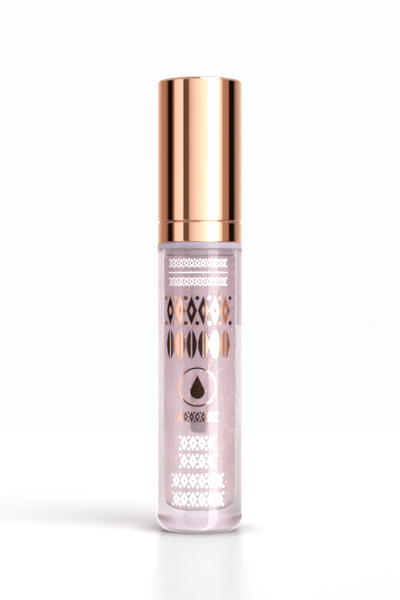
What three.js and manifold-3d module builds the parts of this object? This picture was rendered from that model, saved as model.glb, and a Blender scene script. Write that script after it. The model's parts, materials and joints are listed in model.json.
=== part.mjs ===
// Lip gloss tube: a clear thick-walled bottle with a rose gold collar, closed by a rose gold
// screw cap that carries a flocked wand. Millimetres, +Z up, origin at the centre of the base.
//
// The bottle stands still. The cap unscrews by one and a half turns, rising by the thread's
// pitch on each turn, and then pulls straight out with its wand.

import * as THREE from "three";
import { mergeVertices } from "three/addons/utils/BufferGeometryUtils.js";
import Module from "manifold-3d";

const wasm = await Module();
wasm.setup();

// ---- Driving dimensions -------------------------------------------------------------------

const TUBE_RADIUS = 9.5; // bottle, collar and cap share one outside diameter
const TUBE_HEIGHT = 99.5;
const COLLAR_BOTTOM = 63.52;
const COLLAR_TOP = 68.0;
const CAP_BOTTOM = 68.15;

const SEAT_GAP = 0.05; // between pieces that rest on each other or are pressed together
const ROOT = 0.2; // how deep a rib or gusset is sunk in the wall it grows from
const ROUND = 56; // facets of the pieces that show
const INNER_ROUND = 48; // facets of the pieces inside
const WAND_ROUND = 24; // facets of the wand
const THREAD_STEPS = 28; // facets along each turn of a thread
const BEAD_STEPS = 5; // half the number of facets round a thread's bead
const SAME_POINT = 1e-4; // closer points are one point
const ARC_STEPS = 3; // half the number of facets along an arc of a profile

const bottle = {
  rim: 62.05, // height of the top rim, where the neck piece is welded on
  heelRadius: 3.4, // the heel's arc is tangent to the side and meets the foot at an angle
  heelHeight: 3.0,
  footInner: 6.4, // the foot is a flat ring round a shallow recess
  recessDepth: 0.35,
  cavityRadius: 5.4,
  cavityFloor: 4.5,
  cavityCorner: 3.0,
};

const neck = {
  flangeBottom: bottle.rim + SEAT_GAP,
  flangeTop: COLLAR_BOTTOM - SEAT_GAP,
  plugRadius: bottle.cavityRadius - SEAT_GAP,
  plugBottom: 60.6,
  plugChamfer: 0.4,
  seatRadius: 7.05, // the collar is pressed on this step
  seatTop: 65.0,
  seatRun: 0.5, // height of the slope from the step in to the thread's root
  rootRadius: 6.3,
  top: 75.4,
  leadWidth: 0.25, // chamfer at the top
  leadHeight: 0.5,
  bore: 4.6,
};

const thread = {
  pitch: 2.5,
  turns: 1.5, // as far as the cap turns to come free
  bead: 0.65, // the thread is a round bead, half sunk in its wall
  runOut: 0.06, // share of the thread's length over which each end dives into the wall
  dive: 0.95, // how deep the ends go, past the bead's own radius
  neckStart: 67.2,
  boreRadius: 7.75, // of the inner cap, whose bead clears the neck's by 0.15
};

const wiper = {
  flangeRadius: 6.2,
  flangeTop: 76.15,
  sleeveRadius: neck.bore - SEAT_GAP,
  wall: 0.6,
  coneTop: 67.6,
  bottom: 63.6,
  lipHeight: 0.45,
  orifice: 1.36,
};

const collar = { sheet: 0.6, edge: 0.18, bore: neck.seatRadius + SEAT_GAP };

const shell = { wall: 0.6, roof: 0.8, topRound: 0.6, edge: 0.18 };

const inner = {
  outerRadius: 8.7,
  skirtBottom: 64.6,
  ceiling: 77.05, // underside of the web that presses on the washer
  webTop: 79.0,
  sleeveWall: 0.9,
  sleeveTop: 98.3,
  bossRadius: 3.8,
  bossTop: 89.8,
  socketRadius: 2.25,
  socketTop: 88.4,
  gussets: 6,
  gussetThickness: 0.8,
  gussetTop: 89.5,
  crushRibs: 8,
  crushRibWidth: 0.7,
  crushRibHeight: 0.15,
  crushRibFoot: 70.2,
  crushRibTop: 97.2,
};

const washer = { bottom: wiper.flangeTop + SEAT_GAP, outerRadius: 6.85, innerRadius: 2.4 };

const weight = { radius: 7.4, bottom: inner.bossTop + 0.1, height: 8.6, chamfer: 0.6 };

const rod = {
  radius: 1.2,
  bottom: 36.5,
  plugRadius: inner.socketRadius - SEAT_GAP,
  plugBottom: inner.ceiling + 0.15,
  plugTop: inner.socketTop - 0.1,
  plugRings: 3, // bands that grip the socket, with a groove above each
  grooveDepth: 0.25,
  grooveWidth: 0.9,
  boreRadius: 0.65, // takes the spigot of the tip
  boreDepth: 4.0,
  endRound: 0.35,
};

const tip = {
  bottom: 21.6,
  flockTop: 33.8,
  flockRadius: 1.22,
  flockThickness: 0.34,
  endRadius: 1.0, // the rounded end
  faceTop: 30.5, // the slanted face runs from here down to the end
  faceReach: 0.52, // how far the face cuts into the end
  neckRadius: 0.7,
  spigotRadius: 0.6,
  spigotLength: 3.7,
  spigotChamfer: 0.2,
  stemOverlap: 1.0, // the stem starts this far inside the paddle
};

// The slanted face is cut with a block larger than the tip on every side.
const knife = { depth: 4, width: 8, height: 30 };

const fill = { gap: 0.06, neckRadius: 4.5, level: 62.9, channel: 1.5, channelFloor: 21.1 };

// ---- Helpers ------------------------------------------------------------------------------

// A profile in the (radius, height) half-plane, turned about +Z. It runs anticlockwise: out
// along the bottom, up the outside and back along the top or down the bore.
function turned(profile, segments = INNER_ROUND) {
  const points = profile.getPoints(ARC_STEPS);
  const outline = points.filter((p, i) => i === 0 || p.distanceTo(points[i - 1]) > SAME_POINT);
  return new THREE.LatheGeometry(outline, segments).rotateX(Math.PI / 2);
}

function pathThrough(corners) {
  const path = new THREE.Path();
  path.moveTo(...corners[0]);
  corners.slice(1).forEach((corner) => path.lineTo(...corner));
  return path;
}

function ringProfile(corners) {
  return pathThrough([...corners, corners[0]]);
}

function solidOf(geometry) {
  const bare = geometry.clone();
  bare.deleteAttribute("normal");
  bare.deleteAttribute("uv");
  const merged = mergeVertices(bare, SAME_POINT);
  return new wasm.Manifold(
    new wasm.Mesh({
      numProp: 3,
      vertProperties: merged.attributes.position.array,
      triVerts: new Uint32Array(merged.index.array),
    }),
  );
}

function geometryOf(solid) {
  const mesh = solid.getMesh();
  const geometry = new THREE.BufferGeometry();
  geometry.setAttribute("position", new THREE.BufferAttribute(mesh.vertProperties, 3));
  geometry.setIndex(new THREE.BufferAttribute(mesh.triVerts, 1));
  geometry.computeVertexNormals();
  return geometry;
}

// An upright block that runs out from the axis: its middle stands at the given radius.
function block(length, width, height, radius, foot, angle) {
  return new THREE.BoxGeometry(length, width, height)
    .translate(radius, 0, foot + height / 2)
    .rotateZ(angle);
}

// A right-hand helix about +Z whose ends dive into the wall it lies on.
class ThreadHelix extends THREE.Curve {
  constructor(radius, start, inwards) {
    super();
    this.radius = radius;
    this.start = start;
    this.dive = inwards ? -thread.dive : thread.dive;
  }
  getPoint(t, target = new THREE.Vector3()) {
    const fromEnd = Math.min(1, Math.min(t, 1 - t) / thread.runOut);
    const angle = 2 * Math.PI * thread.turns * t;
    const r = this.radius - this.dive * (1 - fromEnd);
    const z = this.start + thread.pitch * thread.turns * t;
    return target.set(r * Math.cos(angle), r * Math.sin(angle), z);
  }
}

function threadBead(radius, start, inwards) {
  const section = new THREE.Shape().absarc(0, 0, thread.bead, 0, 2 * Math.PI);
  return new THREE.ExtrudeGeometry(section, {
    extrudePath: new ThreadHelix(radius, start, inwards),
    steps: Math.round(THREAD_STEPS * thread.turns),
    curveSegments: BEAD_STEPS,
  });
}

function piece(name, geometry, material) {
  const mesh = new THREE.Mesh(geometry, material);
  mesh.name = name;
  return mesh;
}

// ---- Materials ----------------------------------------------------------------------------

const finish = (color, roughness, metalness = 0, more = {}) =>
  new THREE.MeshStandardMaterial({ color, roughness, metalness, ...more });

const materials = {
  clearPlastic: finish(0xf3eef2, 0.05, 0, { transparent: true, opacity: 0.35 }),
  neckPlastic: finish(0xc9bfd0, 0.15, 0, { transparent: true, opacity: 0.55 }),
  roseGold: finish(0xe3a88a, 0.12, 1),
  gloss: finish(0xd4b4c2, 0.1, 0, { transparent: true, opacity: 0.6 }),
  softWhite: finish(0xf0eef0, 0.5),
  foam: finish(0xf4f2ee, 0.9),
  steel: finish(0xa5a8ab, 0.4, 1),
  innerWhite: finish(0xf2f0ee, 0.35),
  rodPlastic: finish(0xebe7ea, 0.2),
  tipRubber: finish(0xded3d8, 0.5),
  flock: finish(0xcdb3c0, 0.95),
};

// ---- Bottle side --------------------------------------------------------------------------

function bottleBody() {
  const b = bottle;
  const heelCentre = TUBE_RADIUS - b.heelRadius;
  const footOuter = heelCentre + Math.sqrt(b.heelRadius ** 2 - b.heelHeight ** 2);
  const cavityFlat = b.cavityRadius - b.cavityCorner;
  const profile = new THREE.Path()
    .moveTo(0, b.recessDepth)
    .lineTo(b.footInner - b.recessDepth, b.recessDepth)
    .lineTo(b.footInner, 0)
    .lineTo(footOuter, 0)
    .absarc(heelCentre, b.heelHeight, b.heelRadius, -Math.asin(b.heelHeight / b.heelRadius), 0)
    .lineTo(TUBE_RADIUS, b.rim)
    .lineTo(b.cavityRadius, b.rim)
    .lineTo(b.cavityRadius, b.cavityFloor + b.cavityCorner)
    .absarc(cavityFlat, b.cavityFloor + b.cavityCorner, b.cavityCorner, 0, -Math.PI / 2, true)
    .lineTo(0, b.cavityFloor);
  return turned(profile, ROUND);
}

function neckPiece() {
  const n = neck;
  const profile = ringProfile([
    [n.bore, n.plugBottom],
    [n.plugRadius - n.plugChamfer, n.plugBottom],
    [n.plugRadius, n.plugBottom + n.plugChamfer],
    [n.plugRadius, n.flangeBottom],
    [TUBE_RADIUS, n.flangeBottom],
    [TUBE_RADIUS, n.flangeTop],
    [n.seatRadius, n.flangeTop],
    [n.seatRadius, n.seatTop],
    [n.rootRadius, n.seatTop + n.seatRun],
    [n.rootRadius, n.top - n.leadHeight],
    [n.rootRadius - n.leadWidth, n.top],
    [n.bore, n.top],
  ]);
  const wall = solidOf(turned(profile, ROUND));
  const bead = solidOf(threadBead(n.rootRadius, thread.neckStart, false));
  return geometryOf(wall.add(bead));
}

function wiperPlug() {
  const w = wiper;
  const flangeBottom = neck.top + SEAT_GAP;
  const sleeveBore = w.sleeveRadius - w.wall;
  const mouth = 0.4; // lead-in at the top of the bore
  return turned(ringProfile([
    [w.orifice, w.bottom],
    [w.orifice + w.wall, w.bottom],
    [w.sleeveRadius, w.coneTop],
    [w.sleeveRadius, flangeBottom],
    [w.flangeRadius, flangeBottom],
    [w.flangeRadius, w.flangeTop],
    [sleeveBore + mouth, w.flangeTop],
    [sleeveBore, w.flangeTop - mouth],
    [sleeveBore, w.coneTop + w.wall / 2],
    [w.orifice, w.bottom + w.lipHeight],
  ]));
}

function collarRing() {
  const c = collar;
  const bandInner = TUBE_RADIUS - c.sheet;
  return turned(ringProfile([
    [c.bore, COLLAR_BOTTOM],
    [TUBE_RADIUS - c.edge, COLLAR_BOTTOM],
    [TUBE_RADIUS, COLLAR_BOTTOM + c.edge],
    [TUBE_RADIUS, COLLAR_TOP - c.edge],
    [TUBE_RADIUS - c.edge, COLLAR_TOP],
    [bandInner, COLLAR_TOP],
    [bandInner, COLLAR_BOTTOM + c.sheet],
    [c.bore, COLLAR_BOTTOM + c.sheet],
  ]), ROUND);
}

// The gloss fills the cavity and stands a little way up the neck. The wand's channel through
// it is as wide as the wand, so that the wand can be drawn out.
function glossFill() {
  const f = fill;
  const radius = bottle.cavityRadius - f.gap;
  const floor = bottle.cavityFloor + f.gap;
  const corner = bottle.cavityCorner;
  const underPlug = neck.plugBottom - f.gap;
  const profile = new THREE.Path()
    .moveTo(0, floor)
    .lineTo(radius - corner, floor)
    .absarc(radius - corner, floor + corner, corner, -Math.PI / 2, 0)
    .lineTo(radius, underPlug)
    .lineTo(f.neckRadius, underPlug)
    .lineTo(f.neckRadius, f.level)
    .lineTo(f.channel, f.level)
    .lineTo(f.channel, f.channelFloor)
    .lineTo(0, f.channelFloor);
  return turned(profile);
}

// ---- Cap side -----------------------------------------------------------------------------

function capShell() {
  const s = shell;
  const bore = TUBE_RADIUS - s.wall;
  const profile = new THREE.Path()
    .moveTo(0, TUBE_HEIGHT - s.roof)
    .lineTo(bore, TUBE_HEIGHT - s.roof)
    .lineTo(bore, CAP_BOTTOM)
    .lineTo(TUBE_RADIUS - s.edge, CAP_BOTTOM)
    .lineTo(TUBE_RADIUS, CAP_BOTTOM + s.edge)
    .lineTo(TUBE_RADIUS, TUBE_HEIGHT - s.topRound)
    .absarc(TUBE_RADIUS - s.topRound, TUBE_HEIGHT - s.topRound, s.topRound, 0, Math.PI / 2)
    .lineTo(0, TUBE_HEIGHT);
  return turned(profile, ROUND);
}

// Skirt with the thread, web, rod socket on gussets, and the sleeve that the shell grips by
// its crush ribs.
function innerCap() {
  const c = inner;
  const sleeveBore = c.outerRadius - c.sleeveWall;
  const profile = ringProfile([
    [thread.boreRadius, c.skirtBottom],
    [c.outerRadius, c.skirtBottom],
    [c.outerRadius, c.sleeveTop],
    [sleeveBore, c.sleeveTop],
    [sleeveBore, c.webTop],
    [c.bossRadius, c.webTop],
    [c.bossRadius, c.bossTop],
    [0, c.bossTop],
    [0, c.socketTop],
    [c.socketRadius, c.socketTop],
    [c.socketRadius, c.ceiling],
    [thread.boreRadius, c.ceiling],
  ]);
  let cap = solidOf(turned(profile, INNER_ROUND));
  const bead = solidOf(threadBead(thread.boreRadius, thread.neckStart - thread.pitch / 2, true));
  const keptRadius = c.outerRadius - ROOT; // the bead's buried ends stop short of the skirt's outside
  const kept = pathThrough([[0, 0], [keptRadius, 0], [keptRadius, TUBE_HEIGHT], [0, TUBE_HEIGHT]]);
  cap = cap.add(bead.intersect(solidOf(turned(kept))));
  for (let i = 0; i < c.gussets; i++) {
    const angle = (2 * Math.PI * i) / c.gussets;
    const reach = sleeveBore - c.bossRadius + 2 * ROOT;
    const middle = (sleeveBore + c.bossRadius) / 2;
    const foot = c.webTop - ROOT;
    const gusset = block(reach, c.gussetThickness, c.gussetTop - foot, middle, foot, angle);
    cap = cap.add(solidOf(gusset));
  }
  for (let i = 0; i < c.crushRibs; i++) {
    const angle = (2 * Math.PI * i) / c.crushRibs;
    const depth = c.crushRibHeight + ROOT;
    const middle = c.outerRadius + c.crushRibHeight - depth / 2;
    const height = c.crushRibTop - c.crushRibFoot;
    const rib = block(depth, c.crushRibWidth, height, middle, c.crushRibFoot, angle);
    cap = cap.add(solidOf(rib));
  }
  return geometryOf(cap);
}

function sealWasher() {
  const top = inner.ceiling - SEAT_GAP;
  return turned(ringProfile([
    [washer.innerRadius, washer.bottom],
    [washer.outerRadius, washer.bottom],
    [washer.outerRadius, top],
    [washer.innerRadius, top],
  ]));
}

function capWeight() {
  const w = weight;
  const top = w.bottom + w.height;
  return turned(pathThrough([
    [0, w.bottom],
    [w.radius - w.chamfer, w.bottom],
    [w.radius, w.bottom + w.chamfer],
    [w.radius, top - w.chamfer],
    [w.radius - w.chamfer, top],
    [0, top],
  ]));
}

function applicatorRod() {
  const r = rod;
  const grooved = r.plugRadius - r.grooveDepth;
  const pitch = (r.plugTop - r.plugBottom) / r.plugRings;
  const plug = [];
  for (let i = 0; i < r.plugRings; i++) {
    const foot = r.plugBottom + i * pitch;
    plug.push([r.plugRadius, foot]);
    plug.push([r.plugRadius, foot + pitch - 2 * r.grooveDepth - r.grooveWidth]);
    plug.push([grooved, foot + pitch - r.grooveDepth - r.grooveWidth]);
    plug.push([grooved, foot + pitch - r.grooveDepth]);
  }
  const profile = pathThrough([
    [0, r.bottom + r.boreDepth],
    [r.boreRadius, r.bottom + r.boreDepth],
    [r.boreRadius, r.bottom],
    [r.radius - r.endRound, r.bottom],
    [r.radius, r.bottom + r.endRound],
    [r.radius, r.plugBottom],
    ...plug,
    [grooved, r.plugTop],
    [0, r.plugTop],
  ]);
  return turned(profile, WAND_ROUND);
}

// The doe-foot's rounded rod, cut by its slanted face. grow makes the same form larger or
// smaller all round, for the flock and for the core inside it.
function doeFoot(grow, top) {
  const radius = tip.flockRadius + grow;
  const end = tip.bottom - grow;
  const round = tip.endRadius + grow;
  const profile = new THREE.Path()
    .moveTo(0, end)
    .lineTo(radius - round, end)
    .absarc(radius - round, end + round, round, -Math.PI / 2, 0)
    .lineTo(radius, top)
    .lineTo(0, top);
  const slope = Math.atan2(tip.faceReach, tip.faceTop - tip.bottom);
  const cut = new THREE.BoxGeometry(knife.depth, knife.width, knife.height)
    .translate(knife.depth / 2, 0, -knife.height / 2)
    .rotateY(slope)
    .translate(radius, 0, tip.faceTop);
  return solidOf(turned(profile, WAND_ROUND)).subtract(solidOf(cut));
}

function tipCore() {
  const t = tip;
  const coreTop = t.flockTop - t.flockThickness;
  const paddle = doeFoot(-t.flockThickness - SEAT_GAP, coreTop);
  const shoulder = rod.bottom - SEAT_GAP;
  const spigotTop = rod.bottom + t.spigotLength;
  const stem = solidOf(turned(pathThrough([
    [0, coreTop - t.stemOverlap],
    [t.neckRadius, coreTop - t.stemOverlap],
    [t.neckRadius, shoulder],
    [t.spigotRadius, shoulder],
    [t.spigotRadius, spigotTop - t.spigotChamfer],
    [t.spigotRadius - t.spigotChamfer, spigotTop],
    [0, spigotTop],
  ]), WAND_ROUND));
  return geometryOf(paddle.add(stem));
}

// The flock is a sleeve with one opening, at the neck of the core.
function tipFlock() {
  const hollow = doeFoot(-tip.flockThickness, tip.flockTop - tip.flockThickness + SEAT_GAP);
  const openingRadius = tip.neckRadius + SEAT_GAP;
  const openingFoot = tip.flockTop - 2 * tip.flockThickness;
  const openingTop = tip.flockTop + tip.flockThickness;
  const opening = turned(pathThrough([
    [0, openingFoot],
    [openingRadius, openingFoot],
    [openingRadius, openingTop],
    [0, openingTop],
  ]), WAND_ROUND);
  return geometryOf(doeFoot(0, tip.flockTop).subtract(hollow).subtract(solidOf(opening)));
}

// ---- Assembly -----------------------------------------------------------------------------

const bottleSide = new THREE.Group().add(
  piece("bottle_body", bottleBody(), materials.clearPlastic),
  piece("neck_piece", neckPiece(), materials.neckPlastic),
  piece("wiper", wiperPlug(), materials.softWhite),
  piece("collar_ring", collarRing(), materials.roseGold),
  piece("gloss_fill", glossFill(), materials.gloss),
);

const wand = new THREE.Group().add(
  piece("applicator_rod", applicatorRod(), materials.rodPlastic),
  piece("tip_core", tipCore(), materials.tipRubber),
  piece("tip_flock", tipFlock(), materials.flock),
);

const capSide = new THREE.Group().add(
  piece("cap_shell", capShell(), materials.roseGold),
  piece("inner_cap", innerCap(), materials.innerWhite),
  piece("seal_washer", sealWasher(), materials.foam),
  piece("cap_weight", capWeight(), materials.steel),
  wand,
);

export default new THREE.Group().add(bottleSide, capSide);
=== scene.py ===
"""Looks of the lip gloss tube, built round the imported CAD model.

Every round piece is turned again from its own CAD outline, with fine facets, true arcs and
softened edges. The print, the flecks in the gloss and the fibres of the tip are added here.
Lengths are in metres, or in millimetres times MM.
"""

import json
import math
import random

import bmesh
import bpy
from mathutils import Matrix, Vector
from mathutils.geometry import delaunay_2d_cdt


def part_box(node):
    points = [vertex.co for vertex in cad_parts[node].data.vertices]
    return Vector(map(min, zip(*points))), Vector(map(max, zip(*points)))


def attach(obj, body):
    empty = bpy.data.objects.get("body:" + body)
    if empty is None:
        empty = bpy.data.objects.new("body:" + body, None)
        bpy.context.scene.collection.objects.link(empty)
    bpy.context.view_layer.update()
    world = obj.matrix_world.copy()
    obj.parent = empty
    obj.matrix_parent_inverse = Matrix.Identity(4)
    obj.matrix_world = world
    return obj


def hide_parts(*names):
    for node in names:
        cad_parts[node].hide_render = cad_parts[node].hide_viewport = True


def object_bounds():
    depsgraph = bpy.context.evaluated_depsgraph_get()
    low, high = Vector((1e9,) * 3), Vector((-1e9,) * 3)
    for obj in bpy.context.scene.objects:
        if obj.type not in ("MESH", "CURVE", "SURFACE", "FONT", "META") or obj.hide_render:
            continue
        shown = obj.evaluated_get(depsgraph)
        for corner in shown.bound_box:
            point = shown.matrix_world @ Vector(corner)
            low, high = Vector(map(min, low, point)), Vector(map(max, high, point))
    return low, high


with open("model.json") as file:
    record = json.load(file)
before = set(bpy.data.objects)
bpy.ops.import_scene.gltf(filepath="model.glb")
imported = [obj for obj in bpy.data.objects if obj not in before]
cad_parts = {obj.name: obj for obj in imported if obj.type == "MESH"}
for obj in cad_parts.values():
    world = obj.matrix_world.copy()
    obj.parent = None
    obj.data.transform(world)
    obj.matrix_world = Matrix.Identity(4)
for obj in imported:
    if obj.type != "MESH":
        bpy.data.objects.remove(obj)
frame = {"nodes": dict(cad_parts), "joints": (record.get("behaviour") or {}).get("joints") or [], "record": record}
cad_low, cad_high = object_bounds()

MM = 0.001
TUBE_RADIUS = cad_high.x

FINE = 192  # facets round the pieces that show
PLAIN = 96  # facets round the small pieces
EDGE = 0.12 * MM  # rounding of a sharp edge
FINE_EDGE = 0.08 * MM  # the same on small pieces
RING_SHARE = 0.6  # a ring has at least this share of the points of the fullest ring
SAME = 2e-7  # CAD lengths closer than this are the same
TOUCHING = 1e-7  # new points closer than this are one point
STRAIGHT = 1e-3  # radians that a straight stretch may turn
SHARP = math.radians(28)  # a sharper turn of an outline is an edge, a gentler one is on an arc
LONG = 2.5  # a stretch this many times its neighbour's length is straight
MOST_CUT = 0.3  # the share of the stretches beside it that the rounding of an edge may take
ARC_STEPS = 4  # points along one stretch of an arc
EDGE_STEPS = 4  # points along the rounding of a sharp edge
SUPPORT = 0.03 * MM  # straight stretches get a ring this near their ends, to shade straight

JOINTS = {joint["name"]: joint for joint in frame["joints"]}
COUPLING = frame["record"]["behaviour"]["couplings"][0]
THREAD_PITCH = COUPLING["ratio"] * 2 * math.pi
THREAD_TURNS = JOINTS["cap_turn"]["range_deg"][1] / 360
THREAD_BEAD = 0.65 * MM
THREAD_DIVE = 0.95 * MM
THREAD_RUN_OUT = 0.06
THREAD_ROW = 0.08 * MM  # height of a row of facets on a thread
NECK_THREAD_START = 67.2 * MM
CAP_THREAD_START = NECK_THREAD_START - THREAD_PITCH / 2


# ---- Outlines read from the CAD nodes ------------------------------------------------------


def levels(values):
    """Gives each value the number of its level, where values closer than SAME are one level."""
    level = 0
    result = {}
    last = None
    for value in sorted(set(values)):
        if last is not None and value - last > SAME:
            level += 1
        result[value] = level
        last = value
    return result


def outline_of(node):
    """The (radius, height) outline that a CAD node was turned from, and whether it is a loop."""
    mesh = frame["nodes"][node].data
    radii = [math.hypot(v.co.x, v.co.y) for v in mesh.vertices]
    heights = [v.co.z for v in mesh.vertices]
    radius_level, height_level = levels(radii), levels(heights)
    keys = [(radius_level[r], height_level[z]) for r, z in zip(radii, heights)]
    place, angles, beside = {}, {}, {}
    for key, r, z, vertex in zip(keys, radii, heights, mesh.vertices):
        place[key] = Vector((r if r > SAME else 0.0, z))
        angles.setdefault(key, set()).add(round(math.atan2(vertex.co.y, vertex.co.x), 3))
        beside[key] = set()
    full = RING_SHARE * max(len(found) for found in angles.values())
    rings = {key for key in place if len(angles[key]) >= full or place[key].x == 0}
    for polygon in mesh.polygons:
        corners = [keys[v] for v in polygon.vertices]
        for a, b in zip(corners, corners[1:] + corners[:1]):
            if a != b and a in rings and b in rings:
                beside[a].add(b)
                beside[b].add(a)
    ends = [key for key in rings if len(beside[key]) == 1]
    walk = [min(ends or rings)]
    while len(walk) < len(rings):
        onward = [key for key in beside[walk[-1]] if key not in walk]
        if not onward:  # a thread breaks the wall here, and it goes on at the same radius
            onward = [key for key in rings if key not in walk and key[0] == walk[-1][0]]
        if not onward:
            break
        walk.append(min(onward, key=lambda key: (key[1], key[0])))
    points = [place[key] for key in walk]
    return points, points[0].x > 0 or points[-1].x > 0


def turn_at(points, i):
    """The angle by which an outline turns at a point."""
    a = (points[i] - points[i - 1]).normalized()
    b = (points[(i + 1) % len(points)] - points[i]).normalized()
    return a.angle(b)


def tangent_at(points, i):
    """Direction at a gentle corner: along a long straight stretch, else between the stretches."""
    before = points[i] - points[i - 1]
    after = points[(i + 1) % len(points)] - points[i]
    if before.length > LONG * after.length:
        return before.normalized()
    if after.length > LONG * before.length:
        return after.normalized()
    return (before.normalized() + after.normalized()).normalized()


def hermite(p, q, u, v, t):
    """The point at share t of a curve that leaves p along u and comes to q along v."""
    span = (q - p).length
    h = t * t * (3 - 2 * t)
    return p * (1 - h) + q * h + u * span * t * (1 - t) ** 2 - v * span * t * t * (1 - t)


def refined(points, closed, rounding):
    """The outline with arcs through its gentle corners and a small rounding at each sharp one."""
    count = len(points)
    inner = range(count) if closed else range(1, count - 1)
    sharp = {i for i in inner if turn_at(points, i) > SHARP}
    cut = {}
    for i in sharp:
        before = (points[i] - points[i - 1]).length
        after = (points[(i + 1) % count] - points[i]).length
        cut[i] = min(rounding, MOST_CUT * before, MOST_CUT * after)
    result = []
    last = count if closed else count - 1
    for i in range(last):
        j = (i + 1) % count
        p, q = points[i], points[j]
        way = (q - p).normalized()
        start = p + way * cut.get(i, 0.0)
        end = q - way * cut.get(j, 0.0)
        leaves = way if i in sharp or i not in inner else tangent_at(points, i)
        arrives = way if j in sharp or j not in inner else tangent_at(points, j)
        result.append(start)
        if leaves.angle(way) < STRAIGHT and arrives.angle(way) < STRAIGHT:
            margin = min(SUPPORT, 0.2 * (end - start).length)
            result += [start + way * margin, end - way * margin]
        else:
            shares = [k / ARC_STEPS for k in range(1, ARC_STEPS)]
            result += [hermite(start, end, leaves, arrives, share) for share in shares]
        if j in sharp:
            onward = (points[(j + 1) % count] - q).normalized()
            after = q + onward * cut[j]
            for k in range(EDGE_STEPS):
                t = k / EDGE_STEPS
                result.append(end * (1 - t) ** 2 + q * 2 * t * (1 - t) + after * t * t)
    if not closed:
        result.append(points[-1])
    clean = [result[0]]
    for point in result[1:]:
        if (point - clean[-1]).length > TOUCHING:
            clean.append(point)
    if closed and (clean[0] - clean[-1]).length < TOUCHING:
        clean.pop()
    return clean


# ---- Mesh makers ---------------------------------------------------------------------------


def new_piece(name, bm, materials, body, slot, *nodes):
    """A finished bmesh as a piece that rides on a body and stands for some CAD nodes."""
    mesh = bpy.data.meshes.new(name)
    bm.to_mesh(mesh)
    bm.free()
    for material in materials:
        mesh.materials.append(material)
    obj = bpy.data.objects.new(name, mesh)
    bpy.context.scene.collection.objects.link(obj)
    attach(obj, body)
    if nodes:
        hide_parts(*nodes)
    return obj


def spun(outline, closed, around, reshape=None):
    """A bmesh turned from an outline. reshape(angle, radius, height) may move a point in or out."""
    bm = bmesh.new()
    rings = []
    for point in outline:
        if point.x < TOUCHING:
            rings.append([bm.verts.new((0, 0, point.y))])
            continue
        ring = []
        for k in range(around):
            angle = 2 * math.pi * k / around
            r = reshape(angle, point.x, point.y) if reshape else point.x
            ring.append(bm.verts.new((r * math.cos(angle), r * math.sin(angle), point.y)))
        rings.append(ring)
    pairs = list(zip(rings, rings[1:]))
    if closed:
        pairs.append((rings[-1], rings[0]))
    for low, high in pairs:
        for k in range(around):
            n = (k + 1) % around
            if len(low) == 1 and len(high) == 1:
                break
            if len(low) == 1:
                face = (low[0], high[n], high[k])
            elif len(high) == 1:
                face = (low[k], low[n], high[0])
            else:
                face = (low[k], low[n], high[n], high[k])
            bm.faces.new(face)
    bmesh.ops.recalc_face_normals(bm, faces=bm.faces)
    for face in bm.faces:
        face.smooth = True
    return bm


def slot_of(node):
    """The material slot that the record gives a CAD node."""
    return next(s["material_slot"] for s in frame["record"]["subparts"] if s["node"] == node)


def turned_piece(name, node, material, body, around=PLAIN):
    """A CAD node's outline turned again, smoothly."""
    points, closed = outline_of(node)
    bm = spun(refined(points, closed, EDGE), closed, around)
    return new_piece(name, bm, [material], body, slot_of(node), node)


# ---- Material helpers ----------------------------------------------------------------------


class Shader:
    """A new material with its Principled shader, and short ways to add nodes to it."""

    def __init__(self, name, **settings):
        self.material = bpy.data.materials.new(name)
        self.material.use_nodes = True
        self.tree = self.material.node_tree
        self.main = self.tree.nodes["Principled BSDF"]
        self.output = self.tree.nodes["Material Output"]
        for key, value in settings.items():
            self.main.inputs[key.replace("_", " ")].default_value = value

    def node(self, kind, settings=None, **values):
        made = self.tree.nodes.new(kind)
        for key, value in (settings or {}).items():
            setattr(made, key, value)
        for key, value in values.items():
            made.inputs[key.replace("_", " ")].default_value = value
        return made

    def link(self, source, target):
        self.tree.links.new(source, target)

    def noise(self, scale, detail=3.0, stretch=(1, 1, 1), distortion=0.0):
        """Noise in the object's own coordinates. scale is in features per metre."""
        position = self.node("ShaderNodeTexCoord")
        mapping = self.node("ShaderNodeMapping")
        mapping.inputs["Scale"].default_value = stretch
        texture = self.node("ShaderNodeTexNoise", Scale=scale, Detail=detail, Distortion=distortion)
        self.link(position.outputs["Object"], mapping.inputs["Vector"])
        self.link(mapping.outputs["Vector"], texture.inputs["Vector"])
        return texture.outputs["Fac"]

    def place(self, axis):
        """The position along an axis, in metres."""
        position = self.node("ShaderNodeTexCoord")
        parts = self.node("ShaderNodeSeparateXYZ")
        self.link(position.outputs["Object"], parts.inputs[0])
        return parts.outputs[axis]

    def height(self):
        return self.place("Z")

    def spread(self, source, low, high, start=0.35, end=0.65):
        """source, taken from start..end to low..high."""
        node = self.node("ShaderNodeMapRange")
        node.inputs["From Min"].default_value = start
        node.inputs["From Max"].default_value = end
        node.inputs["To Min"].default_value = low
        node.inputs["To Max"].default_value = high
        self.link(source, node.inputs["Value"])
        return node.outputs["Result"]

    def ramp(self, source, *stops):
        """A colour ramp through (position, colour) stops."""
        node = self.node("ShaderNodeValToRGB")
        elements = node.color_ramp.elements
        while len(elements) < len(stops):
            elements.new(0.5)
        for element, (position, colour) in zip(elements, stops):
            element.position = position
            element.color = (*colour, 1)
        self.link(source, node.inputs["Fac"])
        return node.outputs["Color"]

    def by_height(self, *stops):
        """A colour ramp through (height in millimetres, colour) stops."""
        top = stops[-1][0]
        share = self.spread(self.height(), 0.0, 1.0, 0.0, top * MM)
        return self.ramp(share, *((height / top, colour) for height, colour in stops))

    def bump(self, source, height, strength=1.0):
        node = self.node("ShaderNodeBump", Strength=strength, Distance=height)
        self.link(source, node.inputs["Height"])
        self.link(node.outputs["Normal"], self.main.inputs["Normal"])

    def feed(self, source, socket):
        self.link(source, self.main.inputs[socket])


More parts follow.
